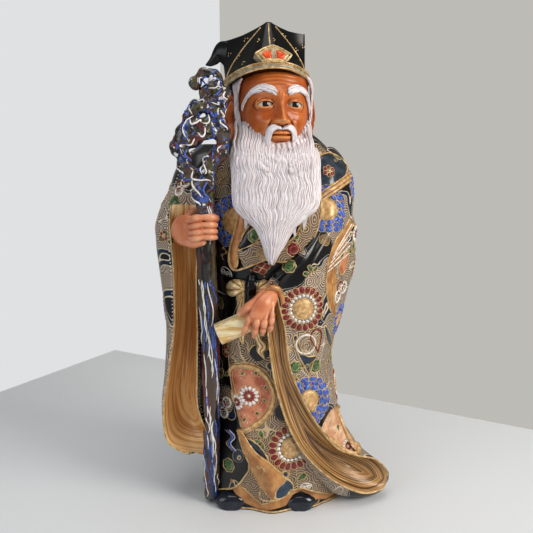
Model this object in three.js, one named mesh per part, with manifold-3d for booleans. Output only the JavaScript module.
// A glazed ceramic figurine of an old bearded deity in a cap and long robes, who leans on a knotted
// staff and holds a scroll. Each casting or hand-built piece is one mesh, as it is before the potter
// lutes them together. Millimetres, +Z up, the figure faces -Y, and X is to its left hand.
import * as THREE from "three";
import { mergeVertices } from "three/addons/utils/BufferGeometryUtils.js";
import Module from "manifold-3d";

const wasm = await Module();
wasm.setup();

// Driving dimensions
const FIGURE_HEIGHT = 409.4; // from the shelf to the cap's peak
const DRAWN_HEIGHT = 409.4; // height of the figure in the tables of points below
const SCALE = FIGURE_HEIGHT / DRAWN_HEIGHT;
const SEAM = 0.4; // slip joint between two pieces
const WALL = 6.5; // slip-cast wall of the hollow body
const CAVITY_TOP = 268; // height at which the hollow inside the body ends
const CAVITY_ROOF = 14; // drop of the hollow's rounded roof
const PANEL_THICKNESS = 3.2; // robe panels laid over the body
const COLLAR_THICKNESS = 3.4;
const SASH_THICKNESS = 2.6;
const HAIR_THICKNESS = 2.6;
const STAFF_RADIUS = 6.8;
const STAFF_FOOT = 0.6; // gap under the staff's foot
const BRANCH_RADIUS = 6.4; // knotted head of the staff
const SCROLL_RADIUS = 9.6;
const SCROLL_EYE = 2.6; // radius of the hole down the rolled scroll
const FINGER_RADIUS = 3.7;
const SHOE_WIDTH = 25;
const SHOE_LENGTH = 20;
const SHOE_HEIGHT = 15;
const BAND_HEIGHT = 6.5; // gilt band of the cap
const BAND_PROUD = 2.2;
const BADGE_THICKNESS = 2.4;
const CHIN_DROP = 25; // chin below the top of the body's casting
const CAP_RISE = 63; // middle of the cap's rim above the chin
const HEAD_TURN = 13; // degrees to the figure's left
const EAR_LENGTH = 42;
const EMBED = 2.5; // depth that an applied piece is modelled into its carrier before it is cut

const at = (x, y, z) => new THREE.Vector3(x, y, z);
const through = (points, closed = false) => new THREE.CatmullRomCurve3(points, closed, "catmullrom", 0.5);
const steps = (count) => Array.from({ length: count }, (_, i) => i);
const turnOf = (degrees) => THREE.MathUtils.degToRad(degrees);

// Interpolates a table whose first column is the height, with smooth slopes at its rows.
function rowAt(table, height) {
  const last = table.length - 1;
  const z = THREE.MathUtils.clamp(height, table[0][0], table[last][0]);
  const i = Math.min(last - 1, Math.max(0, table.findIndex((row) => row[0] > z) - 1));
  const k = z >= table[last][0] ? last - 1 : i;
  const span = table[k + 1][0] - table[k][0];
  const t = (z - table[k][0]) / span;
  const slope = (row, column) => {
    const a = table[Math.max(0, row - 1)];
    const b = table[Math.min(last, row + 1)];
    return (b[column] - a[column]) / (b[0] - a[0]);
  };
  return table[0].map((_, column) => {
    const [p, q] = [table[k][column], table[k + 1][column]];
    const [m, n] = [slope(k, column) * span, slope(k + 1, column) * span];
    const t2 = t * t;
    const t3 = t2 * t;
    return (2 * t3 - 3 * t2 + 1) * p + (t3 - 2 * t2 + t) * m + (3 * t2 - 2 * t3) * q + (t3 - t2) * n;
  });
}

// Indexed geometry from points and triangles, without the triangles that merging has closed up.
function meshOf(points, triangles) {
  const loose = new THREE.BufferGeometry().setFromPoints(points);
  loose.setIndex(triangles.flat());
  const merged = mergeVertices(loose, 1e-4);
  const index = merged.index.array;
  const kept = [];
  for (let i = 0; i < index.length; i += 3) {
    const [a, b, c] = [index[i], index[i + 1], index[i + 2]];
    if (a !== b && b !== c && c !== a) kept.push(a, b, c);
  }
  merged.setIndex(kept);
  return merged;
}

// A closed solid from a geometry, turned so that its faces point outwards.
function solid(geometry) {
  const vertProperties = new Float32Array(geometry.getAttribute("position").array);
  const triVerts = new Uint32Array(geometry.index.array);
  const made = new wasm.Manifold(new wasm.Mesh({ numProp: 3, vertProperties, triVerts }));
  if (made.volume() > 0) return made;
  for (let i = 0; i < triVerts.length; i += 3)
    [triVerts[i + 1], triVerts[i + 2]] = [triVerts[i + 2], triVerts[i + 1]];
  return new wasm.Manifold(new wasm.Mesh({ numProp: 3, vertProperties, triVerts }));
}

// A solid from a geometry that is drawn in the tables' size
const sculpted = (geometry) => solid(geometry.scale(SCALE, SCALE, SCALE));

function geometryOf(shape) {
  const { numProp, numVert, vertProperties, triVerts } = shape.getMesh();
  const position = new Float32Array(numVert * 3);
  for (const i of steps(numVert)) position.set(vertProperties.subarray(i * numProp, i * numProp + 3), i * 3);
  const geometry = new THREE.BufferGeometry();
  geometry.setAttribute("position", new THREE.BufferAttribute(position, 3));
  geometry.setIndex(new THREE.BufferAttribute(new Uint32Array(triVerts), 1));
  return geometry;
}

const joined = (shapes) => shapes.reduce((all, shape) => all.add(shape));

// The same solid with its skin moved out by the seam, to cut the pieces that meet it.
function grown(shape) {
  const geometry = geometryOf(shape);
  geometry.computeVertexNormals();
  const position = geometry.getAttribute("position");
  const normal = geometry.getAttribute("normal");
  for (const i of steps(position.count)) {
    const moved = at(position.getX(i), position.getY(i), position.getZ(i));
    moved.addScaledVector(at(normal.getX(i), normal.getY(i), normal.getZ(i)), SEAM);
    position.setXYZ(i, moved.x, moved.y, moved.z);
  }
  return solid(geometry);
}

// Cuts away the space that other pieces claim, and keeps the largest body that is left.
function fitted(shape, claims) {
  const cut = claims.reduce((rest, claim) => rest.subtract(claim), shape);
  return cut.decompose().reduce((most, body) => (body.volume() > most.volume() ? body : most));
}

// A closed skin over loops of equal length, with a fan over each end.
function skin(loops) {
  const count = loops[0].length;
  const middle = (loop) => loop.reduce((sum, p) => sum.add(p), at(0, 0, 0)).divideScalar(count);
  const points = [...loops.flat(), middle(loops[0]), middle(loops[loops.length - 1])];
  const [first, last] = [points.length - 2, points.length - 1];
  const triangles = [];
  for (const k of steps(count)) {
    const next = (k + 1) % count;
    for (const r of steps(loops.length - 1)) {
      const [a, b] = [r * count + k, r * count + next];
      triangles.push([a, b, b + count], [a, b + count, a + count]);
    }
    const top = (loops.length - 1) * count;
    triangles.push([next, k, first], [top + k, top + next, last]);
  }
  return sculpted(meshOf(points, triangles));
}

// A closed plate between two grids of points, such as a robe panel between its face and its back.
function plate(face, back) {
  const [rows, columns] = [face.length, face[0].length];
  const points = [...face.flat(), ...back.flat()];
  const half = rows * columns;
  const triangles = [];
  for (const r of steps(rows - 1))
    for (const c of steps(columns - 1)) {
      const [a, b] = [r * columns + c, r * columns + c + 1];
      const [d, e] = [a + columns, b + columns];
      triangles.push([a, b, e], [a, e, d], [half + b, half + a, half + e], [half + a, half + d, half + e]);
    }
  const wall = (a, b) => triangles.push([b, a, half + a], [b, half + a, half + b]);
  for (const c of steps(columns - 1)) {
    wall(c, c + 1);
    wall((rows - 1) * columns + c + 1, (rows - 1) * columns + c);
  }
  for (const r of steps(rows - 1)) {
    wall((r + 1) * columns, r * columns);
    wall(r * columns + columns - 1, (r + 1) * columns + columns - 1);
  }
  return sculpted(meshOf(points, triangles));
}

// Loops of a skin from rows of control points. A row holds arcs that share their ends, so that the
// skin is smooth along each arc and has a crisp edge where two arcs meet.
function loopsFrom(rows, perSpan, between) {
  const columns = rows[0].map((arc, a) => arc.map((_, k) => through(rows.map((row) => row[a][k]))));
  const count = (rows.length - 1) * between;
  return steps(count + 1).map((i) =>
    columns.flatMap((column) => {
      const arc = through(column.map((line) => line.getPoint(i / count)));
      const samples = (column.length - 1) * perSpan;
      return steps(samples).map((k) => arc.getPoint(k / samples));
    }),
  );
}

// A tapered limb along a path, with round ends. Squeeze flattens it along one direction.
function limb(points, radii, sides = 10, between = 3, squeeze = null) {
  const path = through(points);
  const count = (points.length - 1) * between;
  const frames = path.computeFrenetFrames(count, false);
  const sizes = through(radii.map((r) => at(r, 0, 0)));
  const loopAt = (i, share, push) => {
    const centre = path.getPoint(i / count).addScaledVector(frames.tangents[i], push);
    const radius = sizes.getPoint(i / count).x * share;
    return steps(sides).map((k) => {
      const angle = (k / sides) * 2 * Math.PI;
      const spoke = frames.normals[i].clone().multiplyScalar(Math.cos(angle) * radius);
      spoke.addScaledVector(frames.binormals[i], Math.sin(angle) * radius);
      if (squeeze) {
        const pressed = (squeeze.keep - 1) * spoke.dot(squeeze.direction);
        spoke.addScaledVector(squeeze.direction, pressed);
      }
      return spoke.add(centre);
    });
  };
  const loops = steps(count + 1).map((i) => loopAt(i, 1, 0));
  const [start, end] = [radii[0], radii[radii.length - 1]];
  return skin([loopAt(0, 0.55, -start * 0.7), ...loops, loopAt(count, 0.55, end * 0.7)]);
}

// The robed body: height, centre x and y, half width and half depth of its rounded-square sections
const BODY = [
  [0, 5, 0, 62, 52],
  [14, 5, 0, 60, 51],
  [40, 5, 0, 56, 50.5],
  [90, 4, 0.5, 51, 49.5],
  [140, 3, 0.5, 49, 49.5],
  [185, 2, 0.5, 49, 49],
  [220, 3, 1, 53, 50],
  [255, 4, 3, 57, 49],
  [285, 4, 7, 58, 43],
  [303, 5, 10, 54, 34],
  [315, 5, 11, 44, 27],
  [323, 5, 11, 33, 21],
  [328, 5, 11, 20, 13],
];
const SQUARENESS = 2.25;
const FOLD_DEPTH = 2.4;
const FOLD_COUNTS = [7, 12]; // folds round the hem, in two overlaid waves
const FOLD_TOP = 230; // height at which the folds have died out
const BODY_TOP = BODY[BODY.length - 1][0];

// A point of the body's skin. Bearing 0 is the front, 90 degrees the figure's left side.
function bodyPoint(bearing, height, out = 0) {
  const [, x, y, wide, deep] = rowAt(BODY, height);
  const [s, c] = [Math.sin(bearing), -Math.cos(bearing)];
  const reach = (Math.abs(s) ** SQUARENESS + Math.abs(c) ** SQUARENESS) ** (-1 / SQUARENESS);
  const [wideFold, narrowFold] = FOLD_COUNTS.map((count) => count * bearing);
  const swing = Math.cos(wideFold + height / 40) + Math.cos(narrowFold - height / 55);
  const fade = Math.max(0, 1 - height / FOLD_TOP);
  const grow = out + FOLD_DEPTH * 0.5 * swing * fade;
  return at(x + s * (reach * wide + grow), y + c * (reach * deep + grow), height);
}

const { smoothstep } = THREE.MathUtils;
const DRAPE_WAVES = 4.5; // heavy folds of cloth behind, as waves round the body
const DRAPE_DEPTH = 5;

// Long folds that hang behind from the shoulders to the hem. There are none in front.
function backDrape(bearing, height) {
  const turned = Math.abs(Math.atan2(Math.sin(bearing), Math.cos(bearing)));
  const ridge = Math.abs(Math.cos(DRAPE_WAVES * (bearing + 0.25 * Math.sin(height / 70)))) ** 0.7;
  return smoothstep(turned, 1.25, 1.9) * (1 - smoothstep(height, 110, 290)) * DRAPE_DEPTH * (ridge - 0.6);
}

function bodyLoops(count, heights, out, drape = () => 0) {
  const around = steps(count).map((k) => (k / count) * 2 * Math.PI);
  return heights.map((z) => around.map((bearing) => bodyPoint(bearing, z, out + drape(bearing, z))));
}

function robeBody() {
  const heights = [0, 24, 56, 92, 132, 174, 212, 242, 266, 286, 302, 314, 322, BODY_TOP];
  return skin(bodyLoops(48, heights, 0, backDrape));
}

function robeHollow() {
  const hollow = [-2, 60, 130, 200, CAVITY_TOP - CAVITY_ROOF, CAVITY_TOP];
  const inside = bodyLoops(16, hollow, -WALL / SCALE - FOLD_DEPTH);
  const roof = inside.pop();
  const [, x, y] = rowAt(BODY, CAVITY_TOP);
  inside.push(roof.map((p) => at((p.x + x) / 2, (p.y + y) / 2, p.z)));
  return skin(inside);
}

// The point of the body's front that lies at a given x and height, moved out from it
function chestPoint(x, height, out = 0) {
  let [low, high] = [-Math.PI / 2, Math.PI / 2];
  for (const _ of steps(24)) {
    const middle = (low + high) / 2;
    if (bodyPoint(middle, height).x < x) low = middle;
    else high = middle;
  }
  return bodyPoint((low + high) / 2, height, out);
}

// A panel of cloth laid on the body between two bearings, given in degrees at each height.
function bodyPanel(edges, columns, rows, out) {
  const [low, high] = [edges[0][0], edges[edges.length - 1][0]];
  const grid = (depth) =>
    steps(rows + 1).map((r) => {
      const z = low + ((high - low) * r) / rows;
      const [, from, to] = rowAt(edges, z);
      return steps(columns + 1).map((c) => bodyPoint(turnOf(from + ((to - from) * c) / columns), z, depth));
    });
  return plate(grid(out), grid(-EMBED));
}

// Height, left edge and right edge of each panel, as bearings in degrees
const FRONT_PANEL = [
  [3, -4, 62],
  [22, -9, 60],
  [50, -20, 50],
  [76, -28, 40],
  [105, -34, 32],
  [135, -37, 26],
  [158, -36, 20],
];
const SIDE_PANEL = [
  [9, -52, -14],
  [40, -54, -20],
  [90, -58, -30],
  [150, -60, -33],
];

const frontPanel = () => bodyPanel(FRONT_PANEL, 9, 9, PANEL_THICKNESS * 1.5);
const sidePanel = () => bodyPanel(SIDE_PANEL, 4, 7, PANEL_THICKNESS * 0.7);

// The lower corner of the front panel, folded back over itself to show its lining
function turnedCorner() {
  const face = [
    [at(-25, -55, 74), at(-24, -56.5, 75), at(-23, -57, 76)],
    [at(-20, -57, 58), at(-14, -60, 60), at(-9, -59, 62)],
    [at(-13, -58.5, 42), at(-4, -62.5, 44), at(5, -61, 47)],
    [at(-6, -59.5, 27), at(4, -64, 30), at(14.5, -62, 33)],
    [at(0, -59, 13), at(5, -63.5, 15), at(11, -61, 20)],
  ];
  const rows = loopsFrom(face.map((row) => [row]), 3, 2).map((row, r) => [...row, endOf(face, r / 8)]);
  return plate(rows, rows.map((row) => row.map((p) => p.clone().add(at(0, PANEL_THICKNESS + EMBED, 0)))));
}

const endOf = (rows, t) => through(rows.map((row) => row[row.length - 1])).getPoint(t);

// A sleeve's row of control points: its outer cloth from one rim round the back to the other rim,
// and its lining, which sinks in between the rims.
const outerArc = (points) => points.map((p) => at(...p));

// Right sleeve, by level: height, rim at the hip side, rim at the outer side, outline, back and lining
const RIGHT_SLEEVE = [
  [305, [-46, -10], [-57, -8], [-61, 8], 22, [-52, -11]],
  [294, [-46, -22], [-68, -18], [-76, 8], 31, [-57, -23]],
  [270, [-51, -33], [-77, -27], [-87, 0], 33, [-64, -33]],
  [252, [-54, -41], [-79, -37], [-93, -6], 31, [-66, -33]],
  [236, [-55, -45], [-78, -41], [-96.5, -10], 28, [-67, -18]],
  [205, [-57, -46], [-76.5, -41], [-92.5, -15], 23, [-67, -14]],
  [160, [-57, -46], [-77.5, -40], [-87.5, -15], 19, [-68, -12]],
  [122, [-58, -46], [-83, -39], [-88.5, -19], 15, [-71, -10]],
  [92, [-58, -46], [-88.5, -37], [-92, -24], 12, [-73, -9]],
  [68, [-50, -46], [-89, -36], [-91.5, -28], 8, [-70, -13]],
  [55, [-45, -44], [-85, -37], [-87, -31], -3, [-66, -22]],
  [48, [-50, -42], [-74, -38], [-76, -35], -14, [-62, -31]],
  [45.5, [-58, -38], [-66, -37], [-67, -36], -26, [-62, -35]],
];

function rightSleeve() {
  const rows = RIGHT_SLEEVE.map(([z, hip, outer, outline, back, deep]) => {
    const side = Math.max(hip[0] - 2, -52);
    const half = (p, q, share) => p + (q - p) * share;
    return [
      outerArc([
        [...outer, z],
        [half(outer[0], outline[0], 0.72), half(outer[1], outline[1], 0.42), z],
        [...outline, z],
        [half(outline[0], side, 0.2), half(outline[1], back, 0.75), z],
        [half(outline[0], side, 0.65), back, z],
        [side, half(hip[1], back, 0.5), z],
        [...hip, z],
      ]),
      outerArc([
        [...hip, z],
        [half(hip[0], deep[0], 0.3), half(hip[1], deep[1], 0.66), z],
        [...deep, z],
        [half(outer[0], deep[0], 0.3), half(outer[1], deep[1], 0.66), z],
        [...outer, z],
      ]),
    ];
  });
  return skin(loopsFrom(rows, 2, 1));
}

// Left sleeve, by station from the shoulder to the trailing tip. Each row holds the lower rim, the
// lining's bottom, the upper rim, two points of the front cloth, the outline, and three of the back.
const LEFT_SLEEVE = [
  [
    [46, 6, 309], [50, 4, 310], [54, 4, 310], [57, 5, 310], [60, 8, 309], [62, 11, 308], [58, 15, 308],
    [52, 15, 308], [48, 11, 308],
  ],
  [
    [34, -12, 299], [40, -16, 300], [46, -16, 300], [56, -12, 300], [64, -2, 300], [68, 9, 299],
    [60, 30, 299], [36, 28, 299], [30, 6, 299],
  ],
  [
    [32, -22, 282], [38, -26, 282], [44, -26, 282], [56, -23, 282], [69, -10, 282], [75.5, 8, 282],
    [62, 34, 282], [32, 30, 282], [27, 2, 282],
  ],
  [
    [32, -28, 262], [38, -31, 262], [44, -31, 262], [56, -28, 263], [69, -14, 264], [76, 5, 264],
    [62, 33, 264], [30, 28, 262], [26, -4, 262],
  ],
  [
    [26, -38, 240], [34, -42, 240], [40, -41, 241], [54, -37, 242], [69, -20, 243], [77, 2, 243],
    [63, 31, 243], [28, 26, 240], [22, -14, 240],
  ],
  [
    [6, -54, 217], [14, -58, 218], [22, -56, 219], [42, -48, 220], [66, -25, 222], [77, 0, 223],
    [63, 29, 222], [22, 22, 218], [8, -26, 215],
  ],
  [
    [-1, -62, 198], [4, -56, 198], [9, -61, 199], [33, -53, 200], [62, -29, 202], [76, 0, 202],
    [62, 28, 202], [22, 18, 198], [5, -34, 195],
  ],
  [
    [1, -64, 164], [8, -55, 163], [15, -60, 162], [34, -54, 160], [54, -36, 158], [66, 0, 156],
    [54, 26, 156], [25, 10, 160], [7, -40, 161],
  ],
  [
    [4.4, -62, 134], [12, -54, 133], [19, -58, 132], [35, -52, 130], [50, -36, 128], [60, 0, 128],
    [50, 24, 128], [26, 8, 130], [10, -40, 131],
  ],
  [
    [9.4, -60, 108], [19, -52, 107], [28.6, -56, 106], [42, -49, 103], [56, -34, 100], [64.5, 0, 98],
    [54, 22, 98], [30, 6, 100], [14, -40, 104],
  ],
  [
    [19.5, -58, 77], [31, -47, 77.5], [43.4, -52, 78], [54, -44, 76], [63, -30, 73], [69.5, -2, 70],
    [60, 18, 66], [36, 4, 62], [23, -40, 68],
  ],
  [
    [35, -56, 51], [47, -40, 54], [60.3, -48, 56], [69, -40, 55], [77, -27, 51], [81, -7, 45],
    [72, 8, 32], [48, 2, 24], [36, -38, 36],
  ],
  [
    [58, -52, 28], [69, -32, 37], [79.5, -42, 46], [86, -35, 43], [91, -25, 37], [94, -12, 29],
    [84, -2, 14], [66, -8, 3], [59, -36, 8],
  ],
  [
    [83, -45, 13], [88, -30, 27], [94.6, -36, 40], [99, -30, 36], [102, -24, 29], [103, -18, 21],
    [95, -12, 7], [84, -18, 1.2], [82, -34, 2],
  ],
  [
    [101, -36, 11], [104, -30, 20], [106, -31, 28], [108.5, -28, 25], [109.5, -25, 21],
    [109.5, -23, 16], [106, -21, 8], [101, -24, 3], [99, -31, 4],
  ],
  [
    [107, -30, 14], [108, -28.5, 17], [108.5, -28, 19], [109.5, -27, 18], [110, -26, 17],
    [110, -25.5, 15], [109, -25, 12], [107.5, -26, 10], [107, -28, 11],
  ],
];

// Folds that swing down the left sleeve's cloth, by the share of the way round it from its upper rim and
// the share of the way along it from the shoulder
const SLEEVE_FOLD = 2.2;
function sleeveFold(around, along) {
  const rims = smoothstep(around, 0, 0.15) * smoothstep(1 - around, 0, 0.15);
  const ends = smoothstep(along, 0.2, 0.4) * smoothstep(1 - along, 0.03, 0.2);
  return SLEEVE_FOLD * Math.cos(2 * Math.PI * (3 * around - 1.1 * along)) * rims * ends;
}

// Moves the first points of each loop, which are its cloth, out along the skin by the folds.
function folded(loops, clothPoints) {
  return loops.map((loop, i) =>
    loop.map((p, k) => {
      if (k === 0 || k >= clothPoints) return p;
      const [above, below] = [loops[Math.max(i - 1, 0)], loops[Math.min(i + 1, loops.length - 1)]];
      const across = loop[k + 1].clone().sub(loop[k - 1]);
      const normal = across.cross(above[k].clone().sub(below[k])).normalize();
      return p.clone().addScaledVector(normal, sleeveFold(k / clothPoints, i / (loops.length - 1)));
    }),
  );
}

function leftSleeve() {
  const rows = LEFT_SLEEVE.map((row) => {
    const [low, deep, high, frontA, frontB, outline, backA, backB, backC] = outerArc(row);
    const near = (rim) => rim.clone().lerp(deep, 0.35).add(at(0, (deep.y - rim.y) * 0.3, 0));
    return [
      [high, frontA, frontB, outline, backA, backB, backC, low],
      [low, near(low), deep, near(high), high],
    ];
  });
  return skin(folded(loopsFrom(rows, 2, 2), 14));
}

// The staff: a shaft that bows a little, and a head of knotted branches
const SHAFT = [
  [-48, -37, 26],
  [-47, -41, 60],
  [-46.5, -44, 100],
  [-47, -47, 145],
  [-47.7, -49, 187],
  [-48.4, -51, 228],
  [-48.2, -51, 262],
];
const BRANCHES = [
  [
    [-48, -51, 258], [-47, -51, 268], [-43, -51, 277], [-36, -50, 286], [-32, -48, 296],
    [-28.5, -46, 306], [-29, -45, 315], [-34, -45, 324], [-35, -46, 333], [-31, -46, 340],
  ],
  [
    [-49, -51, 258], [-53, -51, 272], [-57, -50, 285], [-60, -50, 296], [-66, -49, 304],
    [-69, -48, 312], [-64, -48, 320], [-59, -49, 327], [-52, -49, 333], [-46, -48, 339],
    [-40, -47, 343],
  ],
  [[-62, -50, 303], [-54, -52, 307], [-47, -53, 314], [-41, -51, 319], [-35, -47, 324]],
  [
    [-34, -46, 338], [-41, -47, 343], [-44, -47, 350], [-40, -46, 357], [-40, -47, 362],
    [-47, -48, 363], [-53, -49, 361], [-55, -50, 357],
  ],
  [[-33, -45, 342], [-30.5, -44, 350], [-31, -45, 357], [-35, -46, 362], [-41, -47, 362]],
];
const BRANCH_SIZES = [
  [1.25, 1.15, 1.1, 1.05, 1, 1.1, 0.95, 1, 1.05, 0.95],
  [1.2, 1.1, 1.05, 1.1, 1.15, 1.25, 1.1, 1.05, 1.1, 1, 0.95],
  [0.8, 0.75, 0.7, 0.75, 0.8],
  [1, 0.95, 1.05, 1, 0.95, 1, 0.95, 0.75],
  [0.9, 0.8, 0.8, 0.85, 0.9],
];

function staff() {
  const [x, y, z] = SHAFT[0];
  const foot = at(x - 0.3, y + 1.5, STAFF_FOOT + STAFF_RADIUS * 0.7);
  const path = [foot, ...SHAFT.map((p) => at(...p))];
  const sizes = [1.05, 1.02, 1, 0.97, 1, 1.03, 1.06, 1.2].map((share) => share * STAFF_RADIUS);
  const shaft = limb(path, sizes, 10, 1);
  const branches = BRANCHES.map((branch, b) => {
    const radii = BRANCH_SIZES[b].map((share) => share * BRANCH_RADIUS);
    return limb(branch.map((p) => at(...p)), radii, 7, 1);
  });
  return [shaft, ...branches];
}

// The right fist round the staff: four fingers stacked down the shaft, the thumb behind them
const FINGER_LEVELS = [250.5, 244, 237.5, 231];

function rightHand() {
  const [staffX, staffY] = [-48.3, -51];
  const reach = STAFF_RADIUS + FINGER_RADIUS * 0.8;
  const fingers = FINGER_LEVELS.map((z, i) => {
    const knuckle = at(staffX - 12, staffY - reach + 1.5, z + 1);
    const bend = at(staffX + 2, staffY - reach - 0.6, z + 0.4);
    const turn = at(staffX + reach - 0.8, staffY - 4, z - 0.5);
    const tip = at(staffX + reach - 3, staffY + reach * 0.72, z - 1);
    const size = FINGER_RADIUS * (1 - 0.05 * i);
    return limb([knuckle, bend, turn, tip], [size * 1.08, size * 1.05, size, size * 0.85], 7, 1);
  });
  const centre = (FINGER_LEVELS[0] + FINGER_LEVELS[3]) / 2;
  const squeeze = { direction: at(0.35, 0.94, 0).normalize(), keep: 0.58 };
  const back = limb(
    [at(-74, -33, centre + 1), at(-69, -46, centre + 1), at(-62, -55.5, centre), at(-55, -59, centre)],
    [10, 12.5, 14.5, 13],
    12,
    1,
    squeeze,
  );
  const thumbPath = [
    [-64, -47, 9],
    [-57, -44, 12],
    [-48, -41.5, 11],
    [-41, -42, 7],
  ];
  const thumb = limb(thumbPath.map(([x, y, rise]) => at(x, y, centre + rise)), [5, 4.6, 4.2, 3.4], 7, 1);
  return [back, thumb, ...fingers];
}

// The rolled scroll, and the left hand that closes over its end
const SCROLL_LOW = at(-38, -64, 160);
const SCROLL_HIGH = at(-2, -62, 176);

function scrollTube(radius, overrun) {
  const axis = SCROLL_HIGH.clone().sub(SCROLL_LOW);
  const geometry = new THREE.CylinderGeometry(radius, radius, axis.length() + overrun, 20);
  const turn = new THREE.Quaternion().setFromUnitVectors(at(0, 1, 0), axis.clone().normalize());
  const place = new THREE.Matrix4().makeRotationFromQuaternion(turn);
  place.setPosition(SCROLL_LOW.clone().lerp(SCROLL_HIGH, 0.5));
  return sculpted(meshOf(pointsOf(geometry), trianglesOf(geometry)).applyMatrix4(place));
}

const scroll = () => scrollTube(SCROLL_RADIUS, 0);
const scrollEye = () => scrollTube(SCROLL_EYE, SCROLL_RADIUS);

function pointsOf(geometry) {
  const position = geometry.getAttribute("position");
  return steps(position.count).map((i) => at(position.getX(i), position.getY(i), position.getZ(i)));
}

function trianglesOf(geometry) {
  const loose = steps(geometry.getAttribute("position").count);
  const index = geometry.index ? Array.from(geometry.index.array) : loose;
  return steps(index.length / 3).map((i) => index.slice(i * 3, i * 3 + 3));
}

function leftHand() {
  const squeeze = { direction: at(-0.2, 0.97, 0.1).normalize(), keep: 0.55 };
  const back = limb(
    [at(5, -52, 196), at(2, -64, 191), at(-2, -72, 182), at(-4, -73.5, 174)],
    [9.5, 11, 12.5, 11.5],
    12,
    1,
    squeeze,
  );
  const roots = [at(-11, -74, 176), at(-6.5, -75, 173.5), at(-1.5, -74.5, 172), at(3.2, -73, 172.5)];
  const tips = [at(-19.5, -70, 160), at(-11.5, -71, 158.5), at(-4.5, -70.5, 159), at(1.5, -69.5, 160.5)];
  const fingers = roots.map((root, i) => {
    const bend = root.clone().lerp(tips[i], 0.5).add(at(0, -2.2, 0));
    const size = FINGER_RADIUS * (1 - 0.05 * i);
    const inPalm = root.clone().add(at(1, 3, 5));
    return limb([inPalm, root, bend, tips[i]], [size, size * 1.1, size, size * 0.78], 7, 1);
  });
  const thumbPath = [at(-1, -66, 190), at(-9, -69, 188.5), at(-16, -69, 186.5), at(-22, -67, 184)];
  const thumb = limb(thumbPath, [5, 4.6, 4, 3], 7, 1);
  return [back, thumb, ...fingers];
}

// Flat pieces of tied cloth and ribbon on the robe's front
const flatAcrossY = (keep) => ({ direction: at(0, 1, 0), keep });

const cloth = (points, radii, keep) =>
  limb(points.map(([x, z, out]) => chestPoint(x, z, out)), radii, 9, 2, flatAcrossY(keep));

const bowLoopRight = () =>
  cloth([[-16, 199, 5], [-23, 199, 6], [-30, 195, 6], [-23, 189, 5]], [5, 7.5, 6.5, 4.5], 0.62);
const bowLoopLeft = () => cloth([[-11, 197, 5], [-4, 199, 6], [4, 200, 5]], [4.5, 6, 4.5], 0.62);
const bowTail = () =>
  cloth([[-16, 196, 4], [-19, 188, 4], [-22, 180, 3], [-24, 173, 3]], [5.2, 4.8, 4.4, 4], 0.5);
const tasselRight = () => cloth([[-20, 160, 7], [-20.5, 155.5, 6], [-19.5, 150, 5.5]], [3.6, 3.4, 1.6], 0.8);
const tasselLeft = () => {
  const path = [[-8, 159, 8], [-6, 153, 7], [-3, 149, 7], [-5, 145, 6.5], [-2.5, 139, 6]];
  return cloth(path, [3.4, 3, 4.4, 3.4, 1.4], 0.75);
};

// Collar bands of the crossed robes. A band is a ribbon that follows [x, height] points over the chest.
function ribbon(path, width, thickness, lift = 0) {
  const line = through(path.map(([x, z]) => at(x, 0, z)));
  const count = (path.length - 1) * 2;
  const grid = (outer) =>
    steps(count + 1).map((i) => {
      const p = line.getPoint(i / count);
      const tangent = line.getTangent(i / count);
      return [-1, -0.5, 0, 0.5, 1].map((share) => {
        const crown = lift + thickness * (1 - 0.55 * share * share);
        const [dx, dz] = [tangent.z * share * width * 0.5, -tangent.x * share * width * 0.5];
        return chestPoint(p.x + dx, p.z + dz, outer ? crown : -EMBED);
      });
    });
  return plate(grid(true), grid(false));
}

const collarRight = () =>
  ribbon([[-22, 296], [-20, 268], [-23, 246], [-27, 228], [-29, 213]], 12, COLLAR_THICKNESS);
const collarLeft = () => {
  const path = [[36, 280], [36, 260], [31, 241], [21, 228], [6, 221], [-10, 220], [-23, 215]];
  return ribbon(path, 14, COLLAR_THICKNESS, 1);
};
const innerCollar = () =>
  ribbon([[26, 284], [18, 260], [6, 244], [-8, 233], [-21, 226]], 11, COLLAR_THICKNESS);
const sash = () => ribbon([[-42, 196], [-20, 194], [0, 194], [18, 197]], 16, SASH_THICKNESS);

// The head, by height over the chin: half width, reach to the front and reach to the back
const CHIN_HEIGHT = BODY_TOP - CHIN_DROP;
const HEAD_CENTRE = at(4, -4, CHIN_HEIGHT);
const HEAD = [
  [-12, 17, 13, 18],
  [-5, 17.5, 14, 20],
  [0, 17, 24, 22],
  [5, 21, 33, 25],
  [13, 26, 35, 29],
  [22, 29, 35.5, 32],
  [34, 31, 35, 34],
  [44, 31, 36, 36],
  [54, 31, 33.5, 35],
  [64, 28, 28, 32],
  [72, 18, 17, 22],
];
const EYE_LINE = 38;
const NOSE_BASE = 22;
const MOUTH_LINE = 14;
const bump = (x, middle, spread) => Math.exp(-(((x - middle) / spread) ** 2));

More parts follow.
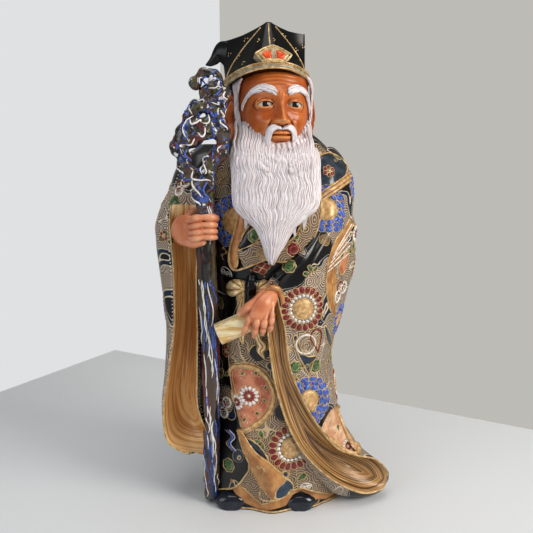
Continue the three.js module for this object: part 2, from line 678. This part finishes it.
// A point of the head in its own frame, where bearing 0 is straight ahead.
function headPoint(bearing, height, out = 0) {
  const [, wide, front, back] = rowAt(HEAD, height);
  const deep = Math.cos(bearing) > 0 ? front : back;
  let [x, y] = [Math.sin(bearing) * (wide + out), -Math.cos(bearing) * (deep + out)];
  if (Math.cos(bearing) > 0) {
    const ridge = THREE.MathUtils.smoothstep(EYE_LINE + 6 - height, 0, 22) * bump(height, NOSE_BASE + 3, 12);
    const undercut = height > NOSE_BASE - 2 ? 1 : 0.15;
    const nose = 9 * ridge * undercut * bump(x, 0, 3.4 + 2.4 * bump(height, NOSE_BASE + 2, 4));
    const sockets = 2.6 * (bump(x, 11.5, 7) + bump(x, -11.5, 7)) * bump(height, EYE_LINE, 5);
    const cheeks = 2 * (bump(x, 15, 8) + bump(x, -15, 8)) * bump(height, NOSE_BASE + 3, 8);
    const brow = 1.4 * bump(height, EYE_LINE + 8, 4) * bump(Math.abs(x), 10, 9);
    const lips = 1.8 * bump(x, 0, 9) * bump(height, MOUTH_LINE, 3.4);
    y -= nose - sockets + cheeks + brow + lips;
  }
  return at(x, y, height);
}

const headToWorld = (p) => p.clone().applyAxisAngle(at(0, 0, 1), turnOf(HEAD_TURN)).add(HEAD_CENTRE);

function ear(side) {
  const top = EYE_LINE + 9;
  const middle = top - EAR_LENGTH / 2;
  const path = [
    at(side * 30, 3, top - 3),
    at(side * 31.5, 5, top - 8),
    at(side * 31.5, 3.5, middle + 3),
    at(side * 30, 1.5, middle - 8),
    at(side * 28, 0, top - EAR_LENGTH + 4),
  ];
  return limb(path.map(headToWorld), [5.5, 8.2, 7, 5.4, 4.6], 10, 2, {
    direction: headToWorld(at(1, 0, 0)).sub(HEAD_CENTRE).setZ(0).normalize(),
    keep: 0.55,
  });
}

function head() {
  const heights = [-12, -2, 6, 12, 17, 20, 24, 31, 38, 45, 54, 64, 72];
  const count = 28;
  // Points crowd towards the face, where the shape changes most.
  const bearingOf = (k) => {
    const t = (k / count) * 2 * Math.PI - Math.PI;
    return t - 0.45 * Math.sin(t);
  };
  const loops = heights.map((h) => steps(count).map((k) => headToWorld(headPoint(bearingOf(k), h))));
  return [skin(loops), ear(1), ear(-1)];
}

// A patch of hair on the head between two bearings, in degrees, at each height
function headPatch(edges, columns, rows, thickness) {
  const [low, high] = [edges[0][0], edges[edges.length - 1][0]];
  const grid = (out) =>
    steps(rows + 1).map((r) => {
      const h = low + ((high - low) * r) / rows;
      const [, from, to] = rowAt(edges, h);
      return steps(columns + 1).map((c) => {
        const share = c / columns;
        const crown = out > 0 ? out * (0.45 + 2.2 * share * (1 - share)) : out;
        return headToWorld(headPoint(turnOf(from + (to - from) * share), h, crown));
      });
    });
  return plate(grid(thickness), grid(-EMBED));
}

const backHair = () => headPatch([[8, 112, 248], [30, 108, 252], [62, 106, 254]], 10, 4, HAIR_THICKNESS);
const sideburn = (side) => {
  const edges = [[10, 56, 80], [24, 60, 80], [40, 64, 80], [54, 60, 84], [63, 58, 88]];
  return headPatch(edges.map(([h, a, b]) => (side > 0 ? [h, a, b] : [h, -b, -a])), 3, 5, HAIR_THICKNESS);
};

function eyebrow(side) {
  const line = [[4.5, 47], [10, 50.5], [17, 50.5], [23, 46], [26.5, 38], [27.5, 31]];
  const path = line.map(([x, h]) => {
    const bearing = Math.asin(Math.min(0.97, x / 31)) * side;
    return headToWorld(headPoint(bearing, h, 0.6));
  });
  return limb(path, [2, 3.1, 3.2, 2.8, 2, 0.9], 7, 1);
}

function moustache(side) {
  const line = [[2, 19.5, 2.6], [6, 19.5, 2.6], [10.5, 16, 2.2], [12.5, 9, 2], [13.5, 1, 3.5], [14, -5, 7]];
  const path = line.map(([x, h, out]) => headToWorld(headPoint(Math.asin(x / 30) * side, h, out)));
  return limb(path, [1.8, 2.6, 2.5, 2.2, 1.8, 0.9], 7, 1);
}

// The beard, by height from the chin: right edge, left edge, front and back
const BEARD = [
  [-86, 4, 6, -62, -58],
  [-79, 1, 9, -63.5, -56],
  [-70, -4, 16, -64.5, -52],
  [-58, -12, 27, -64, -48],
  [-47, -20, 34, -62, -44],
  [-33, -25, 41, -59, -40],
  [-18, -27.5, 43, -56, -34],
  [-3, -28, 42, -51, -28],
  [9, -27, 38, -45, -22],
  [17, -26, 36, -34, -18],
];
const LOCKS = 7;

function beard() {
  const count = 28;
  const [tip, top] = [BEARD[0][0], BEARD[BEARD.length - 1][0]];
  const heights = [tip, -81, -73, -62, -49, -34, -18, -1, 11, top];
  const loops = heights.map((rise) => {
    const [, right, left, front, back] = rowAt(BEARD, rise);
    const [x, y] = [(right + left) / 2, (front + back) / 2];
    const lock = Math.min(1, (rise - tip) / 12) * Math.min(1, (top + 1 - rise) / 8);
    return steps(count).map((k) => {
      const angle = (k / count) * 2 * Math.PI;
      const strand = Math.cos(angle) < 0 ? 0 : 1.1 * lock * Math.cos(LOCKS * 2 * angle + rise / 14);
      const wide = (left - right) / 2 + strand;
      const deep = (back - front) / 2 + strand;
      return at(x + Math.sin(angle) * wide, y - Math.cos(angle) * deep, CHIN_HEIGHT + rise);
    });
  });
  return skin(loops);
}

// The cap: a tilted oval opening that rises to a peak and three blunt corners
const CAP_CENTRE = at(-0.5, -1, CHIN_HEIGHT + CAP_RISE);
const CAP_WIDE = 34.5;
const CAP_DEEP = 37.5;
const CAP_ROLL = 0.115; // rise per millimetre towards the figure's left
const CAP_PITCH = 0.09; // rise per millimetre towards the front
const onCap = (x, y, rise) => at(x, y, CAP_CENTRE.z + rise);
const CAP_PEAK = onCap(1.6, -13, 43.4);
const CAP_LEFT = onCap(33.5, 0, 36.5);
const CAP_RIGHT = onCap(-41, 7, 31.5);
const CAP_BACK = onCap(-1, 34, 33);
const CAP_ROOF = onCap(-2, 8, 34.5);
const BADGE_FOOT = onCap(5.8, -38.5, 6.2);
const BADGE_ROOT = 7; // part of the badge that is inside the crown before it is cut

function capRim(bearing, rise, out = 0) {
  const [x, y] = [Math.sin(bearing) * (CAP_WIDE + out), -Math.cos(bearing) * (CAP_DEEP + out)];
  return at(CAP_CENTRE.x + x, CAP_CENTRE.y + y, CAP_CENTRE.z + rise + x * CAP_ROLL - y * CAP_PITCH);
}

// Where the wall of the cap ends above a bearing, in degrees from the front
function capTop(bearing) {
  const marks = [
    [-180, CAP_BACK],
    [-92, CAP_RIGHT],
    [-38, CAP_PEAK],
    [42, CAP_PEAK],
    [92, CAP_LEFT],
    [180, CAP_BACK],
  ];
  const next = marks.findIndex(([mark]) => mark >= bearing);
  if (next <= 0) return marks[0][1].clone();
  const [[from, a], [to, b]] = [marks[next - 1], marks[next]];
  return a.clone().lerp(b, (bearing - from) / (to - from));
}

function capCrown() {
  const count = 28;
  const wall = [0, 0.25, 0.5, 0.75, 1];
  const rows = wall.map((t) =>
    steps(count).map((k) => {
      const degrees = (k / count) * 360 - 180;
      const hollow = -1.5 * Math.sin(Math.PI * t);
      return capRim(turnOf(degrees), -BAND_HEIGHT * 0.6, hollow).lerp(capTop(degrees), t);
    }),
  );
  const top = rows[rows.length - 1];
  const roof = [0.6].map((t) => top.map((p) => p.clone().lerp(CAP_ROOF, t)));
  return skin([...rows, ...roof]);
}

function capBand() {
  const ring = (rise, out) => steps(28).map((k) => capRim((k / 28) * 2 * Math.PI, rise, out));
  const half = BAND_HEIGHT / 2;
  return skin([
    ring(-half, BAND_PROUD * 0.6),
    ring(-half * 0.6, BAND_PROUD),
    ring(half * 0.6, BAND_PROUD),
    ring(half, BAND_PROUD * 0.6),
  ]);
}

function capBadge() {
  const shape = new THREE.Shape();
  shape.moveTo(-9.5, 0);
  shape.lineTo(-15, 6.5);
  shape.quadraticCurveTo(-8, 12.5, 0, 13.5);
  shape.quadraticCurveTo(8, 12.5, 15, 6.5);
  shape.lineTo(9.5, 0);
  shape.quadraticCurveTo(0, 1.6, -9.5, 0);
  const depth = BADGE_THICKNESS + BADGE_ROOT;
  const geometry = new THREE.ExtrudeGeometry(shape, { depth, bevelEnabled: false, curveSegments: 5 });
  const merged = meshOf(pointsOf(geometry), trianglesOf(geometry)).translate(0, 0, -BADGE_ROOT);
  const tilt = new THREE.Euler(turnOf(70), 0, turnOf(HEAD_TURN), "ZXY");
  const lean = new THREE.Matrix4().makeRotationFromEuler(tilt);
  return sculpted(merged.applyMatrix4(lean).translate(BADGE_FOOT.x, BADGE_FOOT.y, BADGE_FOOT.z));
}

function capFlap() {
  const rows = [
    [onCap(-33, 10, 33), 8, 6, 3],
    [onCap(-40, 10, 30.5), 8, 7, 4],
    [onCap(-45, 11, 25), 6.5, 8, 5],
    [onCap(-47, 12, 19.5), 6.5, 9, 3.5],
    [onCap(-47, 13, 16), 6.8, 9, 1.6],
  ];
  return skin(
    rows.map(([centre, wide, deep, high]) =>
      steps(14).map((k) => {
        const angle = (k / 14) * 2 * Math.PI;
        const [s, c] = [Math.sin(angle), Math.cos(angle)];
        return centre.clone().add(at(s * wide, -c * deep, s * high * 0.5));
      }),
    ),
  );
}

// A shoe's rounded toe, which shows under the hem and passes through a notch in the body's wall
function shoe(x, front) {
  const rows = [0, 0.06, 0.18, 0.35, 0.65, 1];
  return skin(
    rows.map((t) => {
      const round = (1 - (1 - Math.min(1, t * 2.2 + 0.06)) ** 2.4) ** (1 / 2.4);
      const [wide, high] = [(SHOE_WIDTH / 2) * round, SHOE_HEIGHT * (0.4 + 0.6 * round)];
      return steps(14).map((k) => {
        const angle = (k / 14) * 2 * Math.PI;
        const rise = Math.max(0, (1 - Math.cos(angle)) / 2 - 0.2) / 0.8;
        return at(x + Math.sin(angle) * wide, front + t * SHOE_LENGTH, rise * high);
      });
    }),
  );
}

// Colours of the glazes and enamels
function glaze(color, roughness = 0.25, metalness = 0) {
  return new THREE.MeshStandardMaterial({ color, roughness, metalness });
}
const FINISH = {
  robe: glaze(0x1d2026),
  panel: glaze(0x6b5a4c, 0.4),
  sleeve: glaze(0x20242c),
  lining: glaze(0xa9743f, 0.35),
  gilt: glaze(0xd8b071, 0.35, 0.4),
  skin: glaze(0xa9592f, 0.35),
  hair: glaze(0xe6dfe0, 0.5),
  staff: glaze(0x4a4038, 0.3),
  cap: glaze(0x0b0b0e, 0.2),
  badge: glaze(0xd4552a, 0.3),
  shoe: glaze(0x101318, 0.15),
};

// Pieces are made in this order. A piece is joined from its parts, then cut back from the space that
// each named neighbour made before it claims, which is the neighbour's own parts and a seam.
const pieces = new Map();
const claims = new Map();
function add(name, finish, parts, neighbours = [], hollows = []) {
  claims.set(name, joined(parts.map(grown)));
  const cuts = [...neighbours.map((neighbour) => claims.get(neighbour)), ...hollows];
  pieces.set(name, { shape: fitted(joined(parts), cuts), finish });
}

const SHOES = ["shoe_right", "shoe_left"];
const ON_CHEST = ["robe_body", "left_sleeve", "right_sleeve"];
const COLLARS = ["inner_collar", "collar_left", "collar_right"];
const HELD = ["left_hand", "scroll"];
const ON_HEAD = ["head", "cap_crown", "cap_band"];
const SIDES = [["right", -1], ["left", 1]];

add("head", FINISH.skin, head());
add("shoe_right", FINISH.shoe, [shoe(-30, -54)]);
add("shoe_left", FINISH.shoe, [shoe(28.5, -56)]);
add("robe_body", FINISH.robe, [robeBody()], ["head", ...SHOES], [robeHollow()]);
add("staff", FINISH.staff, staff(), ["robe_body", "shoe_right"]);
add("right_hand", FINISH.skin, rightHand(), ["staff"]);
add("right_sleeve", FINISH.sleeve, [rightSleeve()], ["robe_body", "right_hand", "staff"]);
add("left_hand", FINISH.skin, leftHand(), ["robe_body"]);
add("scroll", FINISH.gilt, [scroll()], ["left_hand"], [scrollEye()]);
add("left_sleeve", FINISH.sleeve, [leftSleeve()], ["robe_body", ...HELD]);
add("front_panel", FINISH.panel, [frontPanel()], ["robe_body", "left_sleeve", "staff", "scroll", ...SHOES]);
const besideSidePanel = ["robe_body", "front_panel", "staff", "right_sleeve", ...SHOES];
add("side_panel", FINISH.panel, [sidePanel()], besideSidePanel);
add("turned_corner", FINISH.lining, [turnedCorner()], ["front_panel", "left_sleeve", "robe_body"]);
add("sash", FINISH.gilt, [sash()], [...ON_CHEST, ...HELD]);
add("inner_collar", FINISH.gilt, [innerCollar()], ON_CHEST);
add("collar_left", FINISH.panel, [collarLeft()], [...ON_CHEST, "inner_collar"]);
add("collar_right", FINISH.gilt, [collarRight()], [...ON_CHEST, "inner_collar", "collar_left", "staff"]);
add("bow_loop_right", FINISH.gilt, [bowLoopRight()], [...ON_CHEST, ...COLLARS, "sash", "left_hand"]);
add("bow_loop_left", FINISH.gilt, [bowLoopLeft()], [...ON_CHEST, "sash", "left_hand", "bow_loop_right"]);
add("bow_tail", FINISH.gilt, [bowTail()], ["robe_body", "sash", "bow_loop_right", "bow_loop_left", ...HELD]);
add("tassel_right", FINISH.gilt, [tasselRight()], ["robe_body", "front_panel", "side_panel", ...HELD]);
add("tassel_left", FINISH.gilt, [tasselLeft()], [...ON_CHEST, "front_panel", ...HELD]);
add("beard", FINISH.hair, [beard()], [...ON_CHEST, ...COLLARS, "head", "staff"]);
for (const [name, side] of SIDES) {
  add(`moustache_${name}`, FINISH.hair, [moustache(side)], ["head", "beard"]);
  add(`eyebrow_${name}`, FINISH.hair, [eyebrow(side)], ["head"]);
}
add("cap_crown", FINISH.cap, [capCrown()], ["head", "staff"]);
add("cap_band", FINISH.gilt, [capBand()], ["cap_crown", "head", "staff"]);
add("cap_badge", FINISH.badge, [capBadge()], ON_HEAD);
add("cap_flap", FINISH.cap, [capFlap()], ["cap_crown", "cap_band", "staff"]);
add("back_hair", FINISH.hair, [backHair()], [...ON_HEAD, "robe_body"]);
for (const [name, side] of SIDES) {
  const besides = ["robe_body", "beard", `eyebrow_${name}`];
  add(`sideburn_${name}`, FINISH.hair, [sideburn(side)], [...ON_HEAD, ...besides]);
}

const figurine = new THREE.Group();
for (const [name, { shape, finish }] of pieces) {
  const mesh = new THREE.Mesh(geometryOf(shape), finish);
  mesh.name = name;
  figurine.add(mesh);
}

// The origin is the middle of the footprint's box, on the surface that the figurine stands on.
const box = new THREE.Box3().setFromObject(figurine);
figurine.position.set(-(box.min.x + box.max.x) / 2, -(box.min.y + box.max.y) / 2, -box.min.z);

export default figurine;
